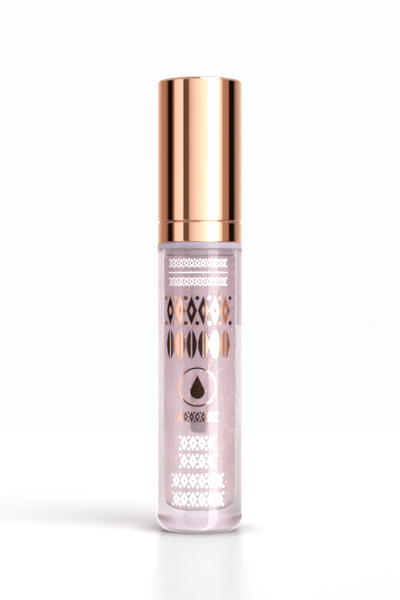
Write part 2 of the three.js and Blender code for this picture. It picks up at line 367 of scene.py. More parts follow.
def rgb(text):
    """A linear colour from a six-digit sRGB code."""
    parts = [int(text[i : i + 2], 16) / 255 for i in (0, 2, 4)]
    return tuple(p / 12.92 if p <= 0.04045 else ((p + 0.055) / 1.055) ** 2.4 for p in parts)


# ---- Materials -----------------------------------------------------------------------------


def rose_gold_mirror():
    """Bright anodised shell metal: a mirror with a faint drawn grain."""
    shader = Shader("rose_gold", Metallic=1.0)
    tone = shader.noise(90, 2)
    colour = shader.ramp(tone, (0.3, (0.8, 0.445, 0.315)), (0.7, (0.83, 0.465, 0.33)))
    shader.feed(colour, "Base Color")
    grain = shader.noise(900, 4, stretch=(1, 1, 0.04))
    shader.feed(shader.spread(grain, 0.035, 0.075), "Roughness")
    return shader.material


def clear_plastic():
    """Polished clear plastic, mauve where it is thick: in the base and round the neck. Its lowest fraction of a
    millimetre is tinted dark as painted shade under the foot.
    """
    shader = Shader("clear_plastic", IOR=1.53, Roughness=0.0, Transmission_Weight=1.0)
    tint = shader.by_height(
        # Painted shade: this dark stop at the very foot stands in for the shade under the tube where it stands on
        # the floor.
        (0.4, (0.28, 0.2, 0.25)),
        (0.9, (0.86, 0.8, 0.83)),
        (1.4, (0.74, 0.62, 0.69)),
        (2.6, (0.71, 0.58, 0.66)),
        (3.4, (0.72, 0.66, 0.73)),
        (4.0, (0.86, 0.81, 0.84)),
        (7.0, (0.83, 0.74, 0.785)),
        (54.0, (0.82, 0.73, 0.78)),
        (58.0, (0.83, 0.75, 0.79)),
    )
    shader.feed(tint, "Base Color")
    ripple = shader.noise(160, 2, stretch=(1, 1, 0.3))
    shader.bump(ripple, 0.01 * MM, 0.25)
    return shader.material


def wetted_plastic():
    """The wall of the cavity, where light passes from plastic to gloss and hardly bends."""
    shader = Shader("wetted_plastic", IOR=1.03, Roughness=0.0, Transmission_Weight=1.0)
    tone = shader.noise(160, 2)
    colour = shader.ramp(tone, (0.3, (0.96, 0.94, 0.95)), (0.7, (0.98, 0.965, 0.97)))
    shader.feed(colour, "Base Color")
    return shader.material


def gloss_liquid():
    """Thick pearly gloss: its skin scatters part of the light and the rest goes on through."""
    shader = Shader("gloss_liquid", IOR=1.12, Roughness=0.17)
    swirl = shader.noise(110, 2, stretch=(1, 1, 0.14), distortion=0.7)
    # The swirl plus a height term: the gloss is drawn lighter and beiger towards the bottom.
    swirl_paler_low = shader.node("ShaderNodeMath", {"operation": "ADD"})
    shader.link(swirl, swirl_paler_low.inputs[0])
    shader.link(shader.spread(shader.height(), 0.3, -0.02, 8 * MM, 50 * MM), swirl_paler_low.inputs[1])
    colour = shader.ramp(
        swirl_paler_low.outputs[0],
        (0.3, (0.74, 0.625, 0.685)),
        (0.5, (0.85, 0.735, 0.775)),
        (0.72, (0.97, 0.92, 0.9)),
    )
    shader.feed(colour, "Base Color")
    shader.feed(shader.spread(swirl, 0.72, 0.56), "Transmission Weight")
    return shader.material


def gloss_round_wand():
    """Where the gloss wets the wand nothing shows but the wand."""
    shader = Shader("gloss_round_wand", IOR=1.01, Roughness=0.0, Transmission_Weight=1.0)
    tone = shader.noise(300, 2)
    colour = shader.ramp(tone, (0.3, (0.97, 0.95, 0.96)), (0.7, (0.99, 0.98, 0.985)))
    shader.feed(colour, "Base Color")
    return shader.material


def gloss_surface():
    """The top of the gloss, where it meets air."""
    shader = Shader("gloss_surface", IOR=1.47, Roughness=0.05, Transmission_Weight=0.4)
    swirl = shader.noise(200, 3)
    shader.feed(shader.ramp(swirl, (0.35, rgb("cdb0bf")), (0.65, rgb("dcc6cf"))), "Base Color")
    return shader.material


def gold_flecks():
    """Yellow and cream flakes, each of one colour."""
    shader = Shader("gold_flecks", Metallic=0.25, Roughness=0.3)
    geometry = shader.node("ShaderNodeNewGeometry")
    colour = shader.ramp(
        geometry.outputs["Random Per Island"],
        (0.0, rgb("ecdd4e")),
        (0.5, rgb("f1e76e")),
        (0.8, rgb("f3e3b4")),
        (1.0, rgb("ead27c")),
    )
    shader.feed(colour, "Base Color")
    return shader.material


def white_print():
    """Thick white ink with a slightly uneven surface."""
    shader = Shader("white_print", Roughness=0.35)
    mottle = shader.noise(2500, 3)
    colour = shader.ramp(mottle, (0.35, (0.86, 0.86, 0.87)), (0.65, (0.93, 0.93, 0.935)))
    shader.feed(colour, "Base Color")
    shader.bump(mottle, 0.004 * MM, 0.4)
    return shader.material


def foil_print():
    """Rose gold foil with a painted reflection: it runs to dark brown down the middle of the front, where a dark
    stripe of the studio is mirrored.
    """
    shader = Shader("foil_print", Metallic=1.0)
    grain = shader.noise(1800, 3)
    light, dark = (0.8, 0.44, 0.31), (0.035, 0.014, 0.01)
    # Painted reflection: the colour turns dark brown across the middle of the front, as a mirrored dark stripe
    # would, whatever the lighting.
    across = shader.spread(shader.place("X"), 0.0, 1.0, -4 * MM, 4 * MM)
    colour = shader.ramp(across, (0.12, light), (0.22, dark), (0.62, dark), (0.71, light))
    shader.feed(colour, "Base Color")
    shader.feed(shader.spread(grain, 0.06, 0.14), "Roughness")
    return shader.material


def orange_peel(shader, low, high):
    """The faint orange peel of a mould, with its roughness from low to high."""
    peel = shader.noise(1500, 3)
    shader.feed(shader.spread(peel, low, high), "Roughness")
    shader.bump(peel, 0.006 * MM, 0.5)


def moulded_plastic(name, low, high, roughness, transmission=0.0, ior=1.49):
    """Injection moulded plastic, its colour from low to high."""
    shader = Shader(name, IOR=ior, Transmission_Weight=transmission)
    tone = shader.noise(140, 3)
    shader.feed(shader.ramp(tone, (0.3, low), (0.7, high)), "Base Color")
    orange_peel(shader, roughness * 0.8, roughness * 1.25)
    return shader.material


def neck_plastic():
    """The clear moulding of the neck: the gloss tints its plug, and its flange is lavender."""
    shader = Shader("neck_plastic", Transmission_Weight=0.6)
    tint = shader.by_height(
        (61.7, (0.96, 0.88, 0.91)),
        (62.1, (0.6, 0.52, 0.61)),
        (64.0, (0.78, 0.73, 0.82)),
        (72.0, (0.86, 0.82, 0.88)),
    )
    shader.feed(tint, "Base Color")
    orange_peel(shader, 0.1, 0.15)
    return shader.material


def foam():
    """The foam of the washer, with small round cells."""
    shader = Shader("foam", Roughness=0.92)
    cells = shader.node("ShaderNodeTexVoronoi", Scale=5200.0)
    position = shader.node("ShaderNodeTexCoord")
    shader.link(position.outputs["Object"], cells.inputs["Vector"])
    tone = shader.ramp(cells.outputs["Distance"], (0.1, rgb("d9d6d0")), (0.6, rgb("f6f4f0")))
    shader.feed(tone, "Base Color")
    shader.bump(cells.outputs["Distance"], 0.03 * MM, 0.8)
    return shader.material


def turned_steel():
    """Plain steel with the fine lines that a lathe leaves."""
    shader = Shader("turned_steel", Metallic=1.0)
    tone = shader.noise(300, 4)
    colour = shader.ramp(tone, (0.3, (0.42, 0.43, 0.44)), (0.7, (0.56, 0.57, 0.58)))
    shader.feed(colour, "Base Color")
    shader.feed(shader.spread(tone, 0.32, 0.5), "Roughness")
    lines = shader.noise(200, 5, stretch=(0.05, 0.05, 14))
    shader.bump(lines, 0.01 * MM, 0.5)
    return shader.material


def wet_flock():
    """Short fibres soaked with gloss, the most at the lower end."""
    shader = Shader("wet_flock", Roughness=0.6, Coat_Weight=0.5, Coat_Roughness=0.2)
    clumps = shader.noise(3200, 5)
    soaked = shader.node("ShaderNodeMath", {"operation": "ADD"})
    shader.link(shader.spread(clumps, -0.06, 0.06), soaked.inputs[0])
    shader.link(shader.spread(shader.height(), 0.0, 1.0, 23.3 * MM, 27 * MM), soaked.inputs[1])
    colour = shader.ramp(
        soaked.outputs[0],
        (0.0, rgb("84707f")),
        (0.45, rgb("9a8696")),
        (0.75, rgb("c3b0bb")),
        (1.0, rgb("ddd0d7")),
    )
    shader.feed(colour, "Base Color")
    shader.bump(clumps, 0.05 * MM, 0.9)
    return shader.material


# ---- Studio --------------------------------------------------------------------------------

# The cap mirrors the studio, so it is lit by a ring of upright panels with dark gaps. Each stop
# is a direction round the tube in degrees, 0 towards the camera and 90 to the right, and the
# light that comes from there.
BLACK = (0.01, 0.006, 0.005)
DARK_WOOD = (0.14, 0.09, 0.06)
SOFTBOX = (6.0, 6.0, 6.0)
PANELS = [
    (-180, (1.9, 1.75, 1.85)),
    (-152, (1.5, 1.4, 1.45)),
    (-150, (1.0, 0.95, 0.9)),
    (-128, (0.75, 0.65, 0.55)),
    (-126, (0.58, 0.42, 0.32)),
    (-103, (0.5, 0.34, 0.24)),
    (-98, (0.3, 0.2, 0.13)),
    (-93, BLACK),
    (-80, BLACK),
    (-78, DARK_WOOD),
    (-73, (0.44, 0.3, 0.21)),
    (-70, (1.2, 1.2, 1.15)),
    (-46, (1.6, 1.6, 1.65)),
    (-44, DARK_WOOD),
    (-29, (0.22, 0.16, 0.115)),
    (-27, (0.9, 0.82, 0.74)),
    (-7, (1.3, 1.45, 1.46)),
    (20, (2.0, 2.15, 2.2)),
    (22, (1.5, 1.55, 1.5)),
    (25, SOFTBOX),
    (49, SOFTBOX),
    (51, (2.2, 2.2, 2.1)),
    (62, (1.3, 1.25, 1.2)),
    (64, (0.62, 0.46, 0.35)),
    (84, (0.5, 0.35, 0.26)),
    (86, BLACK),
    (104, BLACK),
    (108, (0.2, 0.15, 0.11)),
    (113, (0.48, 0.41, 0.35)),
    (180, (1.7, 1.6, 1.65)),
]
# Light that comes through the plastic, or falls on the floor and the gloss, sees a softer room:
# mauve at the sides, with the backdrop behind and one broad soft box in front.
SURROUNDINGS = [
    (-155, (1.05, 1.03, 1.04)),
    (-135, (0.7, 0.6, 0.65)),
    (-80, (0.6, 0.5, 0.56)),
    (-60, (1.2, 1.2, 1.2)),
    (0, (1.2, 1.2, 1.2)),
    (18, (3.2, 3.2, 3.2)),
    (46, (3.2, 3.2, 3.2)),
    (60, (1.2, 1.2, 1.2)),
    (80, (0.62, 0.52, 0.58)),
    (135, (0.74, 0.65, 0.68)),
    (155, (1.05, 1.03, 1.04)),
]
BACKDROP = 0.985  # what the camera sees behind the object
DOME = 0.7  # light from above the panels
ZENITH = 0.3  # and from straight overhead
KEY_AZIMUTH = math.radians(43)
KEY_ELEVATION = math.radians(57)
KEY_STRENGTH = 13.2
KEY_EDGE, KEY_CORE = 0.92, 0.965  # cosines of the angles at which the key light starts and is full
DOME_START, ZENITH_START = 0.85, 1.0  # how high the dome starts to dim, and is dimmest
PANEL_TOP, DOME_FOOT = 0.2, 0.4  # the panels end and the dome is full at these heights


def studio():
    """The world: a ring of panels, a dome and a key light above it, and a plain backdrop."""
    world = bpy.data.worlds.new("studio")
    bpy.context.scene.world = world
    world.use_nodes = True
    tree = world.node_tree
    tree.nodes.clear()

    def node(kind, **settings):
        made = tree.nodes.new(kind)
        for key, value in settings.items():
            setattr(made, key, value)
        return made

    def maths(operation, a, b=None):
        made = node("ShaderNodeMath", operation=operation)
        for socket, value in zip(made.inputs, (a, b)):
            if isinstance(value, (int, float)):
                socket.default_value = value
            elif value is not None:
                tree.links.new(value, socket)
        return made.outputs[0]

    def remap(value, low, high, smooth=True):
        made = node("ShaderNodeMapRange", interpolation_type="SMOOTHSTEP" if smooth else "LINEAR")
        made.inputs["From Min"].default_value = low
        made.inputs["From Max"].default_value = high
        tree.links.new(value, made.inputs["Value"])
        return made.outputs["Result"]

    def mixed(share, a, b):
        made = node("ShaderNodeMix", data_type="RGBA")
        tree.links.new(share, made.inputs["Factor"])
        for name, value in (("A", a), ("B", b)):
            if isinstance(value, tuple):
                made.inputs[name].default_value = (*value, 1)
            else:
                tree.links.new(value, made.inputs[name])
        return made.outputs["Result"]

    direction = node("ShaderNodeTexCoord").outputs["Generated"]
    parts = node("ShaderNodeSeparateXYZ")
    tree.links.new(direction, parts.inputs[0])
    x, y, z = parts.outputs
    azimuth = maths("ARCTAN2", x, maths("MULTIPLY", y, -1))
    turn = remap(azimuth, -math.pi, math.pi, smooth=False)
    rays = node("ShaderNodeLightPath").outputs

    def ring(stops):
        """The light of a ring of panels in the direction looked at."""
        ramp = node("ShaderNodeValToRGB")
        tree.links.new(turn, ramp.inputs["Fac"])
        elements = ramp.color_ramp.elements
        while len(elements) < len(stops):
            elements.new(0.5)
        for element, (angle, colour) in zip(elements, stops):
            element.position = (angle + 180) / 360
            element.color = (*colour, 1)
        return ramp.outputs["Color"]

    key_direction = (
        math.sin(KEY_AZIMUTH) * math.cos(KEY_ELEVATION),
        -math.cos(KEY_AZIMUTH) * math.cos(KEY_ELEVATION),
        math.sin(KEY_ELEVATION),
    )
    facing = node("ShaderNodeVectorMath", operation="DOT_PRODUCT")
    facing.inputs[1].default_value = key_direction
    tree.links.new(direction, facing.inputs[0])
    key = maths("MULTIPLY", remap(facing.outputs["Value"], KEY_EDGE, KEY_CORE), KEY_STRENGTH)
    lower = maths("MULTIPLY", remap(z, ZENITH_START, DOME_START), DOME - ZENITH)
    dome = maths("ADD", lower, ZENITH)
    above = maths("ADD", key, dome)

    mirrored = maths("SUBTRACT", rays["Is Glossy Ray"], rays["Is Transmission Ray"])
    walls = mixed(mirrored, ring(SURROUNDINGS), ring(PANELS))
    lit = mixed(remap(z, PANEL_TOP, DOME_FOOT), walls, above)
    seen = mixed(rays["Is Camera Ray"], lit, (BACKDROP, BACKDROP, BACKDROP))
    background = node("ShaderNodeBackground")
    tree.links.new(seen, background.inputs["Color"])
    out = node("ShaderNodeOutputWorld")
    tree.links.new(background.outputs[0], out.inputs["Surface"])


FLOOR_RADIUS = 3.0
TONED_RADIUS = 2.0
# The floor's colour at some shares of the toned radius: dark in the tube's contact shadow.
FLOOR_TONES = [
    (0.0036, (0.1, 0.08, 0.09)),
    (0.0044, (0.474, 0.48, 0.479)),
    (0.05, (0.474, 0.479, 0.478)),
    (0.15, (0.509, 0.513, 0.513)),
    (0.3, (0.513, 0.515, 0.515)),
]
SHEEN = 0.5
SHEEN_START, SHEEN_END = 60 * MM, 300 * MM  # the floor's sheen fades out between these distances


def floor():
    """A pale table that is as light as the backdrop all the way out, so no horizon shows."""
    shader = Shader("pale_floor", Roughness=0.34, IOR=1.42)
    position = shader.node("ShaderNodeTexCoord")
    length = shader.node("ShaderNodeVectorMath", {"operation": "LENGTH"})
    shader.link(position.outputs["Object"], length.inputs[0])
    distance = length.outputs["Value"]
    outwards = shader.spread(distance, 0.0, 1.0, 0.0, TONED_RADIUS)
    shader.feed(shader.ramp(outwards, *FLOOR_TONES), "Base Color")
    shader.feed(shader.spread(distance, SHEEN, 0.0, SHEEN_START, SHEEN_END), "Specular IOR Level")
    bm = bmesh.new()
    bmesh.ops.create_circle(bm, cap_ends=True, radius=FLOOR_RADIUS, segments=PLAIN)
    mesh = bpy.data.meshes.new("floor")
    bm.to_mesh(mesh)
    bm.free()
    mesh.materials.append(shader.material)
    obj = bpy.data.objects.new("floor", mesh)
    obj.visible_glossy = False
    bpy.context.scene.collection.objects.link(obj)


CAMERA_DISTANCE = 372 * MM
CAMERA_HEIGHT = 50.9 * MM
CAMERA_SHIFT = 0.07 * MM
CAMERA_LENS = 100.2
CLIP = (0.01, 10)


def camera():
    """The camera, level and in front of the tube."""
    data = bpy.data.cameras.new("camera")
    data.lens = CAMERA_LENS
    data.clip_start, data.clip_end = CLIP
    obj = bpy.data.objects.new("camera", data)
    obj.location = (CAMERA_SHIFT, -CAMERA_DISTANCE, CAMERA_HEIGHT)
    obj.rotation_euler = (math.pi / 2, 0, 0)
    bpy.context.scene.collection.objects.link(obj)
    bpy.context.scene.camera = obj


# ---- Bottle and gloss ----------------------------------------------------------------------

GLOSS_LOW, GLOSS_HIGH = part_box("gloss_fill")
CAVITY_MARGIN = 0.3 * MM  # faces of the bottle within this of the gloss are wetted by it
GLOSS_EDGE = 0.15 * MM
CHANNEL = 1.75 * MM  # the gloss has a channel narrower than this round the wand
CHANNEL_FOOT = 1 * MM
SURFACE_DEPTH = 1 * MM


def bottle(clear, wetted):
    """The bottle, with a second material on the wall of its cavity."""
    points, closed = outline_of("bottle_body")
    bm = spun(refined(points, closed, EDGE), closed, FINE)
    cavity_radius = GLOSS_HIGH.x + CAVITY_MARGIN
    foot = GLOSS_LOW.z - CAVITY_MARGIN
    for face in bm.faces:
        middle = face.calc_center_median()
        wet = math.hypot(middle.x, middle.y) < cavity_radius and middle.z > foot
        face.material_index = 1 if wet else 0
    return new_piece("bottle_clear", bm, [clear, wetted], "bottle", "clear_plastic", "bottle_body")


def gloss(liquid, surface, round_wand):
    """The gloss fills the cavity and stands up the neck round the wand."""
    points, closed = outline_of("gloss_fill")
    bm = spun(refined(points, closed, GLOSS_EDGE), closed, FINE)
    for face in bm.faces:
        middle = face.calc_center_median()
        radius = math.hypot(middle.x, middle.y)
        if radius < CHANNEL and middle.z > GLOSS_LOW.z + CHANNEL_FOOT:
            face.material_index = 2
        elif face.normal.z > 0.5 and middle.z > GLOSS_HIGH.z - SURFACE_DEPTH:
            face.material_index = 1
    materials = [liquid, surface, round_wand]
    return new_piece("gloss_body", bm, materials, "bottle", "gloss", "gloss_fill")


DEEP_FLECKS = 220
DEEP_SPREAD = 1.3  # radians round the right-hand side, where the floating flecks gather
WALL_FLECKS = 280
FLECK_SIZE = (0.08 * MM, 0.18 * MM)
FLECK_THICK = 0.012 * MM
FLECK_SIDES = 6
FLECK_REACH = 0.3 * MM  # the floating flecks stay this far inside the gloss
FLECK_WAND_GAP = 0.35 * MM
FLECK_FLOOR_GAP = 0.4 * MM
FLECK_TOP_GAP = 0.4 * MM
WALL_FILM = 0.04 * MM  # the flecks against the wall lie this far outside the gloss body
WALL_TILT = 0.08
CAVITY_CORNER = 3 * MM
RIGHT_SHARE = 0.75  # of the wall's flecks, gathered round a direction in front on the right
RIGHT_ANGLE, RIGHT_SPREAD = -0.7, 1.0


def hexagon(bm, centre, normal):
    """A thin six-sided plate of random size."""
    size = random.uniform(*FLECK_SIZE)
    side = normal.orthogonal().normalized()
    other = normal.cross(side)
    rim = []
    for k in range(FLECK_SIDES):
        angle = 2 * math.pi * k / FLECK_SIDES
        rim.append(centre + (side * math.cos(angle) + other * math.sin(angle)) * size)
    half = normal * FLECK_THICK / 2
    top = [bm.verts.new(p + half) for p in rim]
    bottom = [bm.verts.new(p - half) for p in rim]
    bm.faces.new(top)
    bm.faces.new(bottom[::-1])
    for k in range(FLECK_SIDES):
        n = (k + 1) % FLECK_SIDES
        bm.faces.new((top[k], bottom[k], bottom[n], top[n]))


def random_vector():
    """A vector in any direction, each part of it drawn from a normal distribution."""
    return Vector((random.gauss(0, 1), random.gauss(0, 1), random.gauss(0, 1)))


def flecks(material):
    """Golden flakes: some float in the gloss, and more lie against its wall, most on the right."""
    random.seed(24)
    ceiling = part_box("neck_piece")[0].z - FLECK_TOP_GAP
    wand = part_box("tip_flock")[1].y + FLECK_WAND_GAP
    reach = GLOSS_HIGH.x - FLECK_REACH
    bm = bmesh.new()
    for _ in range(DEEP_FLECKS):
        r = math.sqrt(random.uniform((wand / reach) ** 2, 1)) * reach
        angle = random.gauss(0, DEEP_SPREAD)
        corner = max(0.0, r - GLOSS_HIGH.x + CAVITY_CORNER)
        z = random.uniform(GLOSS_LOW.z + FLECK_FLOOR_GAP + corner, ceiling)
        normal = random_vector().normalized()
        hexagon(bm, Vector((r * math.cos(angle), r * math.sin(angle), z)), normal)
    for _ in range(WALL_FLECKS):
        if random.random() < RIGHT_SHARE:
            angle = random.gauss(RIGHT_ANGLE, RIGHT_SPREAD)
        else:
            angle = random.uniform(-math.pi, math.pi)
        z = random.uniform(GLOSS_LOW.z + CAVITY_CORNER, ceiling)
        outwards = Vector((math.cos(angle), math.sin(angle), 0))
        centre = outwards * (GLOSS_HIGH.x + WALL_FILM) + Vector((0, 0, z))
        hexagon(bm, centre, (outwards + random_vector() * WALL_TILT).normalized())
    return new_piece("gold_flecks", bm, [material], "bottle", "gloss")


# ---- Thread --------------------------------------------------------------------------------


def thread_height(angle, z, start):
    """How far the thread's bead stands out of its wall at a place."""
    best = 0.0
    for coil in range(int(THREAD_TURNS) + 2):
        share = (angle / (2 * math.pi) + coil) / THREAD_TURNS
        if share > 1:
            continue
        offset = z - (start + THREAD_PITCH * THREAD_TURNS * share)
        if abs(offset) >= THREAD_BEAD:
            continue
        sunk = THREAD_DIVE * (1 - min(1.0, min(share, 1 - share) / THREAD_RUN_OUT))
        best = max(best, math.sqrt(THREAD_BEAD**2 - offset**2) - sunk)
    return best


def wall_radius(points, low, high, outwards):
    """Radius of the upright wall that spans these heights: the outer one, or the one inside."""
    walls = []
    for p, q in zip(points, points[1:] + points[:1]):
        upright = abs(p.x - q.x) < SAME
        if upright and min(p.y, q.y) < low and max(p.y, q.y) > high:
            walls.append(p.x)
    return max(walls) if outwards else min(walls)


def threaded_piece(name, node, material, body, start, outwards, add=None):
    """A CAD node turned again with its thread, which stands out of the wall or into the bore."""
    points, closed = outline_of(node)
    fine = refined(points, closed, EDGE)
    low = start - THREAD_BEAD
    high = start + THREAD_PITCH * THREAD_TURNS + THREAD_BEAD
    wall = wall_radius(points, low, high, outwards)
    rows = []
    for p, q in zip(fine, fine[1:] + fine[:1]):
        rows.append(p)
        spans = min(p.y, q.y) < low and max(p.y, q.y) > high
        if spans and abs(p.x - wall) < SAME and abs(q.x - wall) < SAME:
            steps = round((high - low) / THREAD_ROW)
            heights = [low + (high - low) * k / steps for k in range(steps + 1)]
            rows += [Vector((wall, z)) for z in (heights if q.y > p.y else heights[::-1])]
    sign = 1 if outwards else -1

    def reshape(angle, r, z):
        if abs(r - wall) > SAME or not low <= z <= high:
            return r
        return r + sign * thread_height(angle, z, start)

    bm = spun(rows, closed, FINE, reshape)
    if add:
        add(bm)
    return new_piece(name, bm, [material], body, slot_of(node), node)


# How many there are, their size, and the middle of the first one.
GUSSETS = (6, (4.4 * MM, 0.8 * MM, 10.7 * MM), Vector((5.8 * MM, 0, 84.15 * MM)))
CRUSH_RIBS = (8, (0.35 * MM, 0.7 * MM, 27 * MM), Vector((8.675 * MM, 0, 83.7 * MM)))
RIB_EDGE = {"offset": FINE_EDGE, "segments": 2, "affect": "EDGES", "profile": 0.5}


def inner_cap_ribs(bm):
    """Gussets between the rod socket and the sleeve, and the ribs that the shell is pressed on."""
    for count, size, middle in (GUSSETS, CRUSH_RIBS):
        for k in range(count):
            turn = Matrix.Rotation(2 * math.pi * k / count, 4, "Z")
            place = turn @ Matrix.Translation(middle) @ Matrix.Diagonal((*size, 1))
            made = bmesh.ops.create_cube(bm, matrix=place)
            edges = {edge for vert in made["verts"] for edge in vert.link_edges}
            bmesh.ops.bevel(bm, geom=list(edges), **RIB_EDGE)


# ---- Applicator tip ------------------------------------------------------------------------

TIP_END_RADIUS = 1.0 * MM
FIBRES = 2600
FIBRE_LENGTH = (0.1 * MM, 0.22 * MM)
FIBRE_FOOT = 0.02 * MM
FIBRE_LEAN = 0.35
FIBRE_DROOP = -0.3
FIBRE_CORNERS = (0, 2.1, 4.2)  # radians round its foot
ROW = 0.3 * MM  # height of a row of facets on the tip


def slanted_face(node, side):
    """The x at height 0 of a CAD node's slanted face, and how much x grows with the height."""
    faces = []
    for polygon in frame["nodes"][node].data.polygons:
        x, y, z = polygon.normal
        if side * x > 0.9 and abs(y) < 1e-3 and abs(z) > 0.02:
            faces.append(polygon)
    face = max(faces, key=lambda polygon: polygon.area)
    slope = -face.normal.z / face.normal.x
    return face.center.x - slope * face.center.z, slope


def cut_back(face):
    """For spun(): draws the points beyond a slanted face back on to it."""
    foot, slope = face

    def reshape(angle, r, z):
        ahead = math.cos(angle)
        return r if r * ahead <= foot + slope * z else (foot + slope * z) / ahead

    return reshape


def in_rows(outline):
    """The outline with its long upright stretches divided into rows."""
    result = [outline[0]]
    for p, q in zip(outline, outline[1:]):
        steps = max(1, round((q - p).length / ROW))
        result += [p.lerp(q, k / steps) for k in range(1, steps + 1)]
    return result


def joined(target, other):
    """Adds one bmesh to another."""
    mesh = bpy.data.meshes.new("part")
    other.to_mesh(mesh)
    other.free()
    target.from_mesh(mesh)
    bpy.data.meshes.remove(mesh)


def fibre(bm, root, way):
    """A thin spike with three sides, its foot sunk in the surface."""
    side = way.orthogonal().normalized() * FIBRE_FOOT
    other = way.cross(side)
    foot = root - way * FIBRE_FOOT
    base = []
    for angle in FIBRE_CORNERS:
        base.append(bm.verts.new(foot + side * math.cos(angle) + other * math.sin(angle)))
    end = bm.verts.new(root + way * random.uniform(*FIBRE_LENGTH))
    bm.faces.new(base[::-1])
    for k in range(3):
        bm.faces.new((base[k], base[(k + 1) % 3], end))


def highest_first(point):
    """Ranks the points of an outline by height, with the innermost first on a level."""
    return point.y - 0.01 * point.x if point.x > 0 else -1


def flocked_tip(material):
    """The sleeve of flock: its outside, the hollow for the core, and the fibres that stand on it."""
    points, _ = outline_of("tip_flock")
    fine = refined(points, False, FINE_EDGE)
    mouth = max(range(len(fine)), key=lambda i: highest_first(fine[i]))
    outer = cut_back(slanted_face("tip_flock", 1))
    hollow = cut_back(slanted_face("tip_flock", -1))
    bm = spun(in_rows(fine[: mouth + 1]), False, PLAIN, outer)
    joined(bm, spun(in_rows(fine[mouth:]), False, PLAIN, hollow))
    bmesh.ops.remove_doubles(bm, verts=bm.verts, dist=TOUCHING)
    bmesh.ops.recalc_face_normals(bm, faces=bm.faces)
    random.seed(7)
    low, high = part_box("tip_flock")
    for _ in range(FIBRES):
        angle = random.uniform(0, 2 * math.pi)
        z = random.uniform(low.z, high.z)
        bend = max(0.0, low.z + TIP_END_RADIUS - z)
        r = high.y - TIP_END_RADIUS + math.sqrt(max(0.0, TIP_END_RADIUS**2 - bend**2))
        r = outer(angle, r, z)
        root = Vector((r * math.cos(angle), r * math.sin(angle), z))
        out = Vector((math.cos(angle), math.sin(angle), -bend / TIP_END_RADIUS)).normalized()
        along = random.gauss(0, FIBRE_LEAN)
        across = random.gauss(0, FIBRE_LEAN)
        lean = Vector((along, across, random.gauss(FIBRE_DROOP, FIBRE_LEAN)))
        fibre(bm, root, (out + lean).normalized())
    return new_piece("flocked_tip", bm, [material], "cap", "flock", "tip_flock")


def tip_core(material):
    """The flexible core inside the flock, with the spigot that holds it in the rod."""
    points, _ = outline_of("tip_core")
    rows = in_rows(refined(points, False, FINE_EDGE))
    bm = spun(rows, False, PLAIN, cut_back(slanted_face("tip_core", 1)))
    return new_piece("rubber_core", bm, [material], "cap", slot_of("tip_core"), "tip_core")


# ---- Print ---------------------------------------------------------------------------------

PRINT_TURN = math.radians(-3)  # the print's middle faces slightly left of the camera
PRINT_LIFT = 0.004 * MM
PRINT_THICK = 0.016 * MM
DOT_POINTS = 18
RING_POINTS = 72
LEAF_STEPS = 14
DROP_STEPS = 20
DROP_START, DROP_SWEEP = 150, 240  # degrees at which a drop's circle starts, and how far it goes
LEAF_FULLNESS = 0.8
LOZENGE_GAP = 0.16 * MM
DOT_SHARE = 0.36  # size of the dots in a band, as a share of its pitch


def encloses(loop, point):
    """Whether a closed outline goes round a point."""
    inside = False
    for (ax, ay), (bx, by) in zip(loop, loop[1:] + loop[:1]):
        if (ay > point.y) == (by > point.y):
            continue
        if point.x < ax + (bx - ax) * (point.y - ay) / (by - ay):
            inside = not inside
    return inside


def flat_shape(loops):
    """A flat bmesh of the first outline, with the others as holes in it."""
    flat = bmesh.new()
    coords, edges = [], []
    for loop in loops:
        first = len(coords)
        coords += [Vector(p) for p in loop]
        edges += [(first + k, first + (k + 1) % len(loop)) for k in range(len(loop))]
    verts, _, faces, *_ = delaunay_2d_cdt(coords, edges, [], 1, 1e-9)
    made = [flat.verts.new((v.x, v.y, 0)) for v in verts]
    for face in faces:
        middle = sum((verts[i] for i in face), Vector((0, 0))) / len(face)
        if not any(encloses(hole, middle) for hole in loops[1:]):
            flat.faces.new([made[i] for i in face])
    return flat


def cut_in_strips(flat):
    """Cuts a flat shape along the edges of the bottle's facets, so that it can bend there."""
    left = min(v.co.x for v in flat.verts)
    right = max(v.co.x for v in flat.verts)
    step = TUBE_RADIUS * 2 * math.pi / FINE
    offset = PRINT_TURN * TUBE_RADIUS
    k = math.ceil((left + offset) / step)
    while k * step - offset < right:
        geometry = [*flat.verts, *flat.edges, *flat.faces]
        place = Vector((k * step - offset, 0, 0))
        plane = {"plane_co": place, "plane_no": (1, 0, 0), "dist": 1e-8}
        bmesh.ops.bisect_plane(flat, geom=geometry, **plane)
        k += 1


def wrapped_layer(bm, flat, radius):
    """The points of a flat shape, wrapped round the front of a cylinder."""
    layer = {}
    for v in flat.verts:
        angle = v.co.x / TUBE_RADIUS + PRINT_TURN
        place = (radius * math.sin(angle), -radius * math.cos(angle), v.co.y)
        layer[v] = bm.verts.new(place)
    return layer


def wrapped(name, shapes, material, slot):
    """Flat shapes in (along, up) metres, as thin solids wrapped round the front of the bottle."""
    bm = bmesh.new()
    for loops in shapes:
        flat = flat_shape(loops)
        cut_in_strips(flat)
        inner = wrapped_layer(bm, flat, TUBE_RADIUS + PRINT_LIFT)
        outer = wrapped_layer(bm, flat, TUBE_RADIUS + PRINT_LIFT + PRINT_THICK)
        for face in flat.faces:
            bm.faces.new([outer[v] for v in face.verts])
            bm.faces.new([inner[v] for v in reversed(face.verts)])
        for edge in flat.edges:
            if edge.is_boundary:
                loop = edge.link_loops[0]
                a, b = loop.vert, loop.link_loop_next.vert
                bm.faces.new((outer[b], outer[a], inner[a], inner[b]))
        flat.free()
    bmesh.ops.recalc_face_normals(bm, faces=bm.faces)
    return new_piece(name, bm, [material], "bottle", slot)


def ellipse(x, z, width, height, points):
    """An ellipse round (x, z)."""
    turns = [2 * math.pi * k / points for k in range(points)]
    return [(x + math.cos(a) * width / 2, z + math.sin(a) * height / 2) for a in turns]


def lozenge(x, z, width, height):
    """A diamond with corners at the top, at the bottom and at both sides."""
    return [(x - width / 2, z), (x, z - height / 2), (x + width / 2, z), (x, z + height / 2)]


